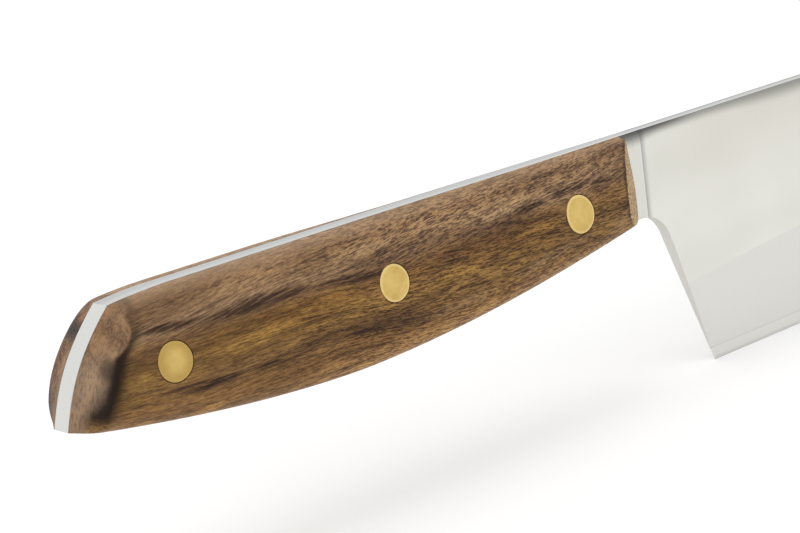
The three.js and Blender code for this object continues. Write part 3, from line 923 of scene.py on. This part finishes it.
def use_group(tree, group, vector, **settings):
    node = tree.nodes.new("ShaderNodeGroup")
    node.node_tree = group
    tree.links.new(vector, node.inputs["Vector"])
    for name, value in settings.items():
        node.inputs[name].default_value = value
    return node.outputs["Value"]


def fibres(tree, vector, size, detail=2.0):
    """Threads whose size along each axis is in millimetres."""
    return use_group(tree, FIBRES, vector, Size=[part * MM for part in size], Detail=detail)


def soft_mark(tree, vector, centre, size, turn=0.0):
    """A soft ellipse, with its centre and half sizes in metres."""
    return use_group(tree, STREAK, vector, Centre=centre, Size=size, Turn=turn)


def streaks(tree, vector, marks):
    """The strongest of several marks on the right scale."""
    strongest = None
    for (start, start_z), (end, end_z), height, strength in marks:
        centre = (BUTT + (start + end) / 2 * MM, RIGHT_SIDE, (start_z + end_z) / 2 * MM)
        half_length = math.hypot(end - start, end_z - start_z) / 2
        size = (MARK_OVERRUN * half_length * MM, MARK_DEPTH, height * MM)
        mark = soft_mark(tree, vector, centre, size, math.atan2(end_z - start_z, end - start))
        mark = product(tree, mark, strength)
        strongest = mark if strongest is None else calculate(tree, "MAXIMUM", strongest, mark)
    return strongest


def new_material(name):
    material = bpy.data.materials.new(name)
    material.use_nodes = True
    tree = material.node_tree
    tree.nodes.clear()
    shader = add_node(tree, "BsdfPrincipled")
    add_node(tree, "OutputMaterial", {"Surface": shader.outputs["BSDF"]})
    return material, tree, shader


def finish_surface(tree, shader, colour, roughness, height, strength, distance):
    """Gives the shader its colour and roughness, and a bump of a strength and distance."""
    bump = add_node(tree, "Bump", {"Height": height, "Strength": strength, "Distance": distance})
    tree.links.new(colour, shader.inputs["Base Color"])
    tree.links.new(roughness, shader.inputs["Roughness"])
    tree.links.new(bump.outputs["Normal"], shader.inputs["Normal"])


def wood_figure(tree, at):
    """The wood's light and dark at several sizes, along grain that wanders and leans more near the top."""
    wander = add_node(tree, "TexNoise", {"Vector": at, "Scale": 34.0, "Detail": 1.0}).outputs["Color"]
    swing = vector_step(tree, "SUBTRACT", wander, (0.5, 0.5, 0.5))
    swing = vector_step(tree, "MULTIPLY", swing, (0.0, WANDER, WANDER))
    grain = vector_step(tree, "ADD", at, swing)
    lower_grain = turn_about_y(tree, grain, Angle=LOWER_LEAN)
    upper_grain = turn_about_y(tree, grain, Angle=UPPER_LEAN)
    upper = fade(tree, axes_of(tree, grain)["Z"], *LEAN_CHANGE)
    figure = {
        "grain": grain, "upper": upper,
        "broad": fibres(tree, grain, *BROAD_TONES), "golden": fibres(tree, lower_grain, *GOLDEN_PATCHES),
    }
    for name, threads in LEANING_THREADS.items():
        low = fibres(tree, lower_grain, *threads)
        figure[name] = fade(tree, upper, 0.0, 1.0, low, fibres(tree, upper_grain, *threads))
    return figure


def fine_flecks(tree, figure, from_butt):
    """Threads and pores together, from dark at 0 to light at 1, and sharper towards the front."""
    sharp = fade(tree, from_butt, 25 * MM, 68 * MM, 0.2, 0.42)
    thread, pore = [fade(tree, figure[name], 0.36, 0.64, -1.0, 1.0) for name in ("thread", "pore")]
    both = calculate(tree, "ADD", thread, pore)
    return calculate(tree, "MULTIPLY_ADD", both, sharp, 0.5, bounded=True)


def side_colour(tree, figure, fleck, level):
    """Brown wood with golden patches, dark streaks and veins, greyer near the top, partly painted sheen;
    paler along the top edge, a painted highlight; tinted by height, partly painted light and shade.
    """
    grain, vein = figure["grain"], figure["vein"]
    tone = fade(tree, figure["broad"], 0.38, 0.62)
    golden_marks = calculate(tree, "MULTIPLY", streaks(tree, grain, GOLDEN_MARKS),
                             fade(tree, vein, 0.38, 0.6, 0.45, 1.35), bounded=True)
    gold = calculate(tree, "MAXIMUM", fade(tree, figure["golden"], 0.50, 0.64, 0.0, 0.7), golden_marks)
    dark_marks = calculate(tree, "MULTIPLY", streaks(tree, grain, DARK_MARKS),
                           fade(tree, vein, 0.64, 0.42, 0.35, 1.4), bounded=True)
    dark = calculate(tree, "MAXIMUM", fade(tree, figure["streak"], 0.47, 0.33, 0.0, 0.5), dark_marks)
    body = lay_coats(
        tree, blend_colours(tree, tone, *BROWN),
        (gold, GOLDEN_BROWN),
        # Greyer upper zone, partly painted sheen
        (product(tree, figure["upper"], 0.85), blend_colours(tree, tone, *UPPER_BROWN_AND_SHEEN)),
        (streaks(tree, grain, LIGHT_MARKS), PALE_BROWN),
        (dark, STREAK_BROWN),
        (fade(tree, vein, 0.38, 0.28, 0.0, 0.65), VEIN_BROWN),
    )
    body = tinted(tree, body, blend_colours(tree, fleck, *FLECK_TINTS))
    # Painted light and shade by height up the side, with the wood's own bands
    body = tinted(tree, body, colour_run(tree, level, HEIGHT_TINTS_AND_PAINTED_LIGHT))
    # Painted highlight along the top edge
    return lay_coats(tree, body, (fade(tree, level, 0.92, 0.995, 0.0, 0.4), TOP_EDGE_SHEEN))


def end_colour(tree, at, level, cloud):
    """End grain, pale low down on the right scale, dark and reddish on the left one."""
    thread = fibres(tree, at, (0.35, 0.3, 1.6), 2.5)
    on_left = fade(tree, axes_of(tree, at)["Y"], 2 * MM, 4 * MM)
    pale = product(tree, fade(tree, level, 0.78, 0.55, 0.0, 0.34), what_is_left(tree, on_left))
    right_patch = soft_mark(tree, at, (BUTT + 5.2 * MM, -6.6 * MM, 38.6 * MM), (3 * MM, 2.4 * MM, 2.2 * MM))
    left_patch = soft_mark(tree, at, (BUTT + 6.4 * MM, 5.5 * MM, 43 * MM), (4 * MM, 8 * MM, 2.4 * MM))
    return lay_coats(
        tree, blend_colours(tree, fade(tree, cloud, 0.38, 0.62), *END_BROWN),
        (pale, END_PALE),
        (fade(tree, thread, 0.5, 0.36, 0.0, 0.42), END_DARK_THREAD),
        (fade(tree, thread, 0.5, 0.64, 0.0, 0.4), END_LIGHT_THREAD),
        (product(tree, fade(tree, cloud, 0.62, 0.42, 0.2, 0.8), on_left), LEFT_END_DARK),
        (product(tree, fade(tree, thread, 0.48, 0.6, 0.0, 0.6), on_left), LEFT_END_RED),
        (product(tree, right_patch, 0.7), RIGHT_END_PATCH),
        (left_patch, LEFT_END_PATCH),
    )


def lay_end_grain(tree, body, at, level, from_butt):
    """End grain at the butt up to a ragged line, with painted shade along the rounded corner where the end
    turns into the side.
    """
    cloud = fibres(tree, at, (3, 3, 4.5), 2.0)
    notch = product(tree, fade(tree, level, 0.62, 0.78), fade(tree, level, 0.94, 0.8))
    line = fade(tree, level, 0.6, 0.05, 3.3 * MM, 1.9 * MM)
    line = calculate(tree, "MULTIPLY_ADD", notch, 1.8 * MM, line)
    ragged = calculate(tree, "MULTIPLY_ADD", cloud, 1.2 * MM, from_butt)
    past = calculate(tree, "SUBTRACT", ragged, line)
    # Painted shade along the turn from the end into the side, darkest at the corner and fading beside it.
    corner_shade_start = fade(tree, level, 0.75, 0.55, -0.4 * MM, -1.3 * MM)
    corner = product(
        tree, fade(tree, past, corner_shade_start, 0.4 * MM), fade(tree, past, 3.4 * MM, 0.8 * MM),
        fade(tree, level, 0.95, 0.6, 0.4, 1.0), fade(tree, level, 0.0, 0.2, 0.3, 1.0),
    )
    beside = product(
        tree, fade(tree, past, 7 * MM, 1 * MM, 0.0, 0.5), fade(tree, level, 0.62, 0.45),
        fade(tree, past, -0.2 * MM, 0.6 * MM), fade(tree, level, 0.06, 0.2),
    )
    return lay_coats(
        tree, body,
        (fade(tree, past, 0.5 * MM, -0.4 * MM), end_colour(tree, at, level, cloud)),
        (beside, BESIDE_END_CORNER_SHADE),
        (corner, END_CORNER_SHADE),
    )


def lay_facet(tree, body, figure, fleck, level, to_ramp):
    """The pale facet at the front of a scale, with a dark border behind it."""
    border = product(
        tree, fade(tree, to_ramp, 1.0 * MM, 0.5 * MM, 0.0, 0.7), fade(tree, to_ramp, 0.2 * MM, 0.34 * MM),
        fade(tree, level, 0.1, 0.45, 0.4, 1.0), fade(tree, level, 0.95, 0.7, 0.6, 1.0),
    )
    facet = blend_colours(tree, fade(tree, figure["thread"], 0.35, 0.65), *FACET_BROWN)
    facet = tinted(tree, facet, blend_colours(tree, fleck, *FACET_FLECK_TINTS))
    facet = lay_coats(tree, facet, (fade(tree, figure["vein"], 0.46, 0.34, 0.0, 0.5), FACET_VEIN))
    on_facet = fade(tree, to_ramp, 0.32 * MM, 0.2 * MM, 0.0, 0.76)
    return lay_coats(tree, body, (border, FACET_BORDER), (on_facet, facet))


def wood_material():
    """Oiled brown wood with dark wandering streaks, golden patches and fine open pores."""
    material, tree, shader = new_material("oiled_wood")
    at = object_place(tree)
    from_butt, to_ramp, level = marks_of(tree, "from_butt", "to_ramp", "level")
    figure = wood_figure(tree, at)
    fleck = fine_flecks(tree, figure, from_butt)
    body = side_colour(tree, figure, fleck, level)
    body = lay_end_grain(tree, body, at, level, from_butt)
    body = lay_facet(tree, body, figure, fleck, level, to_ramp)
    roughness = fade(tree, fleck, 0.1, 0.9, 0.62, 0.42)
    height = product(tree, fleck, fade(tree, from_butt, 2 * MM, 6 * MM, 0.25, 1.0))
    finish_surface(tree, shader, body, roughness, height, 0.5, 0.03 * MM)
    shader.inputs["IOR"].default_value = 1.33
    shader.inputs["Specular IOR Level"].default_value = 0.3
    return material


def face_colour(tree, at, parts, lines):
    """Clouded faces, darker and warmer high on the blade ahead of the band as a painted reflection, the
    plainer bevel, the honed strip under its line, the edge and the heel.
    """
    over_bevel, over_honed, over_edge, over_heel = marks_of(
        tree, "over_bevel", "over_honed", "over_edge", "over_heel",
    )
    clouded = fade(tree, fibres(tree, at, (26, 26, 14), 1.0), 0.3, 0.7)
    reflection_zone = product(tree, fade(tree, parts["Z"], 24 * MM, 42 * MM),
                       fade(tree, parts["X"], BAND_END, BAND_END + 24 * MM, 0.35, 1.0))
    at_line = fade(tree, calculate(tree, "ABSOLUTE", over_honed), 0.22 * MM, 0.05 * MM, 0.0, 0.3)
    low_on_heel = fade(tree, parts["Z"], 30 * MM, 24 * MM)
    return lay_coats(
        tree, blend_colours(tree, clouded, *LOW_FACE),
        (reflection_zone, blend_colours(tree, clouded, *HIGH_FACE_PAINTED_REFLECTION)),
        (fade(tree, lines, 0.3, 0.75, 0.0, 0.12), GRIND_LINE),
        (fade(tree, over_bevel, 0.1 * MM, -0.1 * MM), BEVEL_STEEL),
        (fade(tree, over_honed, 0.1 * MM, -0.1 * MM, 0.0, 0.7), HONED_STEEL),
        (at_line, HONED_LINE),
        (fade(tree, over_edge, 1.0 * MM, 0.1 * MM, 0.0, 0.5), EDGE_STEEL),
        (fade(tree, over_heel, 0.1 * MM, 0.03 * MM, 0.0, 0.8), blend_colours(tree, low_on_heel, *HEEL_STEEL)),
    )


def lay_band(tree, satin, along):
    """Painted shade in the hollow ahead of the band, and the band with a painted highlight along its front
    edge.
    """
    ahead = calculate(tree, "GREATER_THAN", along, BAND_END + 0.02 * MM)
    on_band = what_is_left(tree, ahead)
    plunge = fade(tree, along, BAND_END + PLUNGE_LENGTH, BAND_END + 0.05 * MM, 0.0, 0.85)
    front_edge_highlight = fade(tree, along, BAND_END - 0.4 * MM, BAND_END - 0.1 * MM, 0.0, 0.6)
    return lay_coats(
        tree, satin,
        (product(tree, plunge, ahead), PLUNGE_SHADE),
        (product(tree, on_band, 0.6), BAND_STEEL),
        (product(tree, front_edge_highlight, on_band), BAND_EDGE_HIGHLIGHT),
    )


def lay_spine(tree, satin, parts, lines):
    """Painted shade on the shoulders below the spine, with a ragged lower line; the strip on top with a
    painted reflection, darker on its far half, and a painted highlight along its near edge; and the end of
    the tang.
    """
    under_spine = marks_of(tree, "under_spine")[0]
    along = parts["X"]
    reach = calculate(
        tree, "ADD", fade(tree, along, BAND_END - 1 * MM, BAND_END + 6 * MM, 3.0 * MM, 2.1 * MM),
        fade(tree, along, BAND_END + 16 * MM, BAND_END + 42 * MM, 0.0, 1.2 * MM),
    )
    hairs = fade(tree, along, BAND_END + 3 * MM, BAND_END + 10 * MM, 0.35, 0.06)
    ragged = calculate(tree, "MULTIPLY_ADD", calculate(tree, "SUBTRACT", lines, 0.5), hairs, 1.0)
    depth = calculate(tree, "DIVIDE", under_spine, product(tree, reach, ragged))
    # Painted shade below the spine, strongest by the band and fading towards the point
    shade = product(
        tree, fade(tree, depth, 1.0, 0.0),
        fade(tree, along, BAND_END + 4 * MM, BAND_END + 18 * MM, 0.95, 0.62),
        fade(tree, along, BAND_END + 60 * MM, BAND_END + 120 * MM, 1.0, 0.4),
        fade(tree, under_spine, 0.015 * MM, 0.04 * MM),
        fade(tree, along, BAND_END - 7 * MM, BAND_END - 5.6 * MM),
    )
    on_top = fade(tree, under_spine, 0.04 * MM, 0.015 * MM)
    # Painted reflection: the far half of the strip darker, the near half lighter
    top = blend_colours(tree, fade(tree, parts["Y"], 0.6 * MM, -1.6 * MM), *TOP_STEEL_AND_PAINTED_REFLECTION)
    near_edge_highlight = product(tree, fade(tree, parts["Y"], -0.4 * MM, -0.9 * MM, 0.0, 0.8),
                        fade(tree, along, BAND_END - 30 * MM, BAND_END - 5 * MM))
    top = lay_coats(tree, top, (near_edge_highlight, TOP_EDGE_HIGHLIGHT))
    at_butt = fade(tree, along, BUTT + 11.5 * MM, BUTT + 10.5 * MM)
    at_butt = product(tree, at_butt, what_is_left(tree, on_top))
    return lay_coats(tree, satin, (shade, SHOULDER_SHADE), (on_top, top), (at_butt, BUTT_STEEL))


def steel_material():
    """Satin steel, ground across the blade, with a plainer wide bevel and a bright honed edge."""
    material, tree, shader = new_material("ground_steel")
    at = object_place(tree)
    parts = axes_of(tree, at)
    lines = fibres(tree, at, (0.16, 4, 22), 2.0)
    satin = face_colour(tree, at, parts, lines)
    satin = lay_band(tree, satin, parts["X"])
    satin = lay_spine(tree, satin, parts, lines)
    finish_surface(tree, shader, satin, fade(tree, lines, 0.25, 0.75, 0.34, 0.44), lines, 0.2, 0.003 * MM)
    shader.inputs["Metallic"].default_value = 1.0
    return material


def brass_material():
    """Satin brass, rubbed down with the wood along the handle, with painted highlights in the middle of each
    head and round its rim.
    """
    material, tree, shader = new_material("satin_brass")
    at = object_place(tree)
    from_middle, tarnish = marks_of(tree, "from_middle", "tarnish")
    lines = fibres(tree, at, (5, 0.2, 0.08), 2.0)
    cloud = fibres(tree, at, (2.5, 2.5, 2.5), 2.0)
    body = lay_coats(
        tree, blend_colours(tree, fade(tree, cloud, 0.3, 0.7), *RUBBED_BRASS),
        (fade(tree, lines, 0.5, 0.75, 0.0, 0.18), BRIGHT_LINE),
        (fade(tree, lines, 0.45, 0.28, 0.0, 0.12), DARK_LINE),
        (fade(tree, from_middle, 0.7, 0.1, 0.0, 0.3), MIDDLE_HIGHLIGHT),
        (fade(tree, from_middle, 0.8, 0.94, 0.0, 0.5), RIM_HIGHLIGHT),
        (product(tree, tarnish, fade(tree, from_middle, 0.3, 1.0, 0.2, 0.8)), TARNISHED_BRASS),
    )
    finish_surface(tree, shader, body, fade(tree, lines, 0.3, 0.7, 0.46, 0.36), lines, 0.2, 0.008 * MM)
    shader.inputs["Metallic"].default_value = 1.0
    return material


WOOD = wood_material()
STEEL = steel_material()
BRASS = brass_material()


# Pieces

STRIP_DEPTH = 1.5 * STRIP_CROWN  # points no deeper than this are on the flat along the top
BESIDE_STRIP = 0.05 * MM  # least depth that points beside the flat are marked with


def place_piece(name, mesh, material, node):
    mesh.name = name
    mesh.materials.clear()
    mesh.materials.append(material)
    for polygon in mesh.polygons:
        polygon.use_smooth = True
        polygon.material_index = 0
    mesh.set_sharp_from_angle(angle=SHARP_ANGLE)
    piece = bpy.data.objects.new(name, mesh)
    bpy.context.scene.collection.objects.link(piece)
    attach(piece, "root")
    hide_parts(node)


def write_marks(mesh, marks):
    """Puts a named value on each vertex, for the material to read."""
    for name, values in marks.items():
        mesh.attributes.new(name, "FLOAT", "POINT").data.foreach_set("value", values)


def mark_steel(mesh):
    """Distances below the spine and above the grinding lines, for the finish to follow."""
    marks = {name: [] for name in ("under_spine", "over_bevel", "over_honed", "over_edge", "over_heel")}
    for vert in mesh.vertices:
        distance = vert.co.x - BUTT
        depth = steel_top(distance) - vert.co.z
        on_strip = abs(vert.co.y) <= strip_half(distance) + WELD and depth < STRIP_DEPTH
        marks["under_spine"].append(0.0 if on_strip else max(BESIDE_STRIP, depth))
        marks["over_bevel"].append(vert.co.z - bevel_height(distance))
        marks["over_honed"].append(vert.co.z - honed_height(distance))
        marks["over_edge"].append(vert.co.z - edge_height(distance))
        behind_heel = CHOIL_PLACE < distance < HEEL_PLACE
        marks["over_heel"].append(vert.co.z - heel_height(distance) if behind_heel else SPINE)
    write_marks(mesh, marks)


def mark_wood(mesh):
    """Places along the handle, counted with the slant of its ends, and levels up its side."""
    marks = {name: [] for name in ("from_butt", "to_ramp", "level")}
    for vert in mesh.vertices:
        distance = vert.co.x - BUTT
        low = underside(distance)
        level = clamp((vert.co.z - low) / (top_line(distance) - low))
        place = distance
        for _ in range(LEAN_STEPS):
            place = distance - butt_lean(place, level) + front_lean(place, level)
        marks["from_butt"].append(place)
        marks["to_ramp"].append(ramp_wood(place) - (abs(vert.co.y) - HALF_TANG))
        marks["level"].append(level)
    write_marks(mesh, marks)


def mark_rivet(mesh, centre, head, tarnish):
    """Shares of the way from the middle of the head to its rim, and how tarnished the rivet is."""
    shares = [math.hypot(v.co.x - centre.x, v.co.z - centre.z) / head for v in mesh.vertices]
    write_marks(mesh, {"from_middle": shares, "tarnish": [tarnish] * len(shares)})


def rivet_centre(name):
    low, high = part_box(name + "_rivet_pin")
    return (low + high) / 2


RIVETS = {name: rivet_centre(name) for name in ("rear", "middle", "front")}

steel_mesh = drill(shape_steel(), [shank_hole(centre) for centre in RIVETS.values()])
mark_steel(steel_mesh)
place_piece("blade_and_tang_steel", steel_mesh, STEEL, "blade_and_tang")

for side_name, hand in (("left", 1), ("right", -1)):
    blank = shape_scale(hand)
    surface = BVHTree.FromBMesh(blank)
    holes = [stepped_hole(centre, hand, HEAD_RADII[name]) for name, centre in RIVETS.items()]
    scale_mesh = drill(blank, holes)
    mark_wood(scale_mesh)
    place_piece(side_name + "_scale_wood", scale_mesh, WOOD, side_name + "_scale")
    part_name = "socket" if hand > 0 else "pin"
    shank = socket_shank() if hand > 0 else pin_shank()
    for rivet_name, centre in RIVETS.items():
        node_name = rivet_name + "_rivet_" + part_name
        head = HEAD_RADII[rivet_name]
        rivet_mesh = mesh_of(shape_rivet(centre, hand, head, shank, surface), node_name)
        mark_rivet(rivet_mesh, centre, head, 1.0 if rivet_name == "rear" else 0.0)
        place_piece(node_name + "_brass", rivet_mesh, BRASS, node_name)


# Floor, light and camera

FLOOR_SIZE = 6.0
FLOOR_COLOUR = (0.86, 0.86, 0.86, 1)
FLOOR_LIFT = 0.175  # added to what the camera sees, so that the unshaded floor is white
SHADOW_REACH = (0.24, 0.42)  # the floor turns plain white between these distances
AMBIENT = 0.85
WHITE = (1, 1, 1, 1)
LIGHT_AIM = Vector((0, 0, 0.03))
SOFTBOXES = [  # name, place, size and power
    ("overhead", (-0.25, 0.0, 0.85), 0.6, 1.23),
    ("rear", (-0.8, -0.2, 0.3), 0.4, 1.28),
    ("front_right", (0.3, -0.7, 0.55), 0.6, 0.33),
]
CAMERA_PLACE = Vector((-0.317259, -0.287062, 0.129367))
CAMERA_HEADING = math.radians(40.38)
CAMERA_DROP = math.radians(13.79)
CAMERA_ROLL = math.radians(-7.57)
CAMERA_LENS = 108
CAMERA_SENSOR = 36


def seen_by_camera_or_mirror(tree):
    path = add_node(tree, "LightPath").outputs
    before_any_diffuse = calculate(tree, "LESS_THAN", path["Diffuse Depth"], 0.5)
    mirrored = product(tree, path["Is Glossy Ray"], before_any_diffuse)
    return calculate(tree, "MAXIMUM", path["Is Camera Ray"], mirrored)


def floor_material():
    """Pale floor that keeps the knife's shadow and turns plain white further away."""
    material = bpy.data.materials.new("pale_floor")
    material.use_nodes = True
    tree = material.node_tree
    tree.nodes.clear()
    seen = seen_by_camera_or_mirror(tree)
    reach = vector_length(tree, object_place(tree))
    away = product(tree, fade(tree, reach, *SHADOW_REACH), seen)
    lift = product(tree, seen, FLOOR_LIFT)
    diffuse = add_node(tree, "BsdfDiffuse", {"Color": FLOOR_COLOUR}).outputs["BSDF"]
    lifted = add_node(tree, "Emission", {"Color": WHITE, "Strength": lift}).outputs["Emission"]
    near = add_node(tree, "AddShader", {"Shader": diffuse, "Shader_001": lifted}).outputs["Shader"]
    white = add_node(tree, "Emission", {"Color": WHITE, "Strength": 1.0}).outputs["Emission"]
    sockets = {"Fac": away, "Shader": near, "Shader_001": white}
    mixed = add_node(tree, "MixShader", sockets).outputs["Shader"]
    add_node(tree, "OutputMaterial", {"Surface": mixed})
    return material


def lay_floor():
    sheet = bmesh.new()
    bmesh.ops.create_grid(sheet, x_segments=1, y_segments=1, size=FLOOR_SIZE / 2)
    floor = bpy.data.objects.new("floor", mesh_of(sheet, "floor"))
    floor.data.materials.append(floor_material())
    bpy.context.scene.collection.objects.link(floor)


def light_world():
    world = bpy.data.worlds.new("studio")
    bpy.context.scene.world = world
    world.use_nodes = True
    tree = world.node_tree
    tree.nodes.clear()
    strength = fade(tree, seen_by_camera_or_mirror(tree), 0.0, 1.0, AMBIENT, 1.0)
    background = add_node(tree, "Background", {"Color": WHITE, "Strength": strength})
    add_node(tree, "OutputWorld", {"Surface": background.outputs["Background"]})


def hang_softbox(name, place, size, power):
    lamp = bpy.data.lights.new(name, "AREA")
    lamp.shape = "DISK"
    lamp.size = size
    lamp.energy = power
    softbox = bpy.data.objects.new(name, lamp)
    softbox.location = place
    softbox.rotation_euler = (LIGHT_AIM - Vector(place)).to_track_quat("-Z", "Y").to_euler()
    bpy.context.scene.collection.objects.link(softbox)


def set_camera():
    data = bpy.data.cameras.new("camera")
    data.lens = CAMERA_LENS
    data.sensor_width = CAMERA_SENSOR
    data.sensor_fit = "HORIZONTAL"
    camera = bpy.data.objects.new("camera", data)
    level = math.cos(CAMERA_DROP)
    forward = Vector((
        math.sin(CAMERA_HEADING) * level, math.cos(CAMERA_HEADING) * level, -math.sin(CAMERA_DROP),
    ))
    camera.location = CAMERA_PLACE
    turn = forward.to_track_quat("-Z", "Y") @ Quaternion((0, 0, 1), CAMERA_ROLL)
    camera.rotation_euler = turn.to_euler()
    bpy.context.scene.collection.objects.link(camera)
    bpy.context.scene.camera = camera


lay_floor()
light_world()
for softbox in SOFTBOXES:
    hang_softbox(*softbox)
set_camera()
bpy.context.scene.view_settings.view_transform = "Standard"
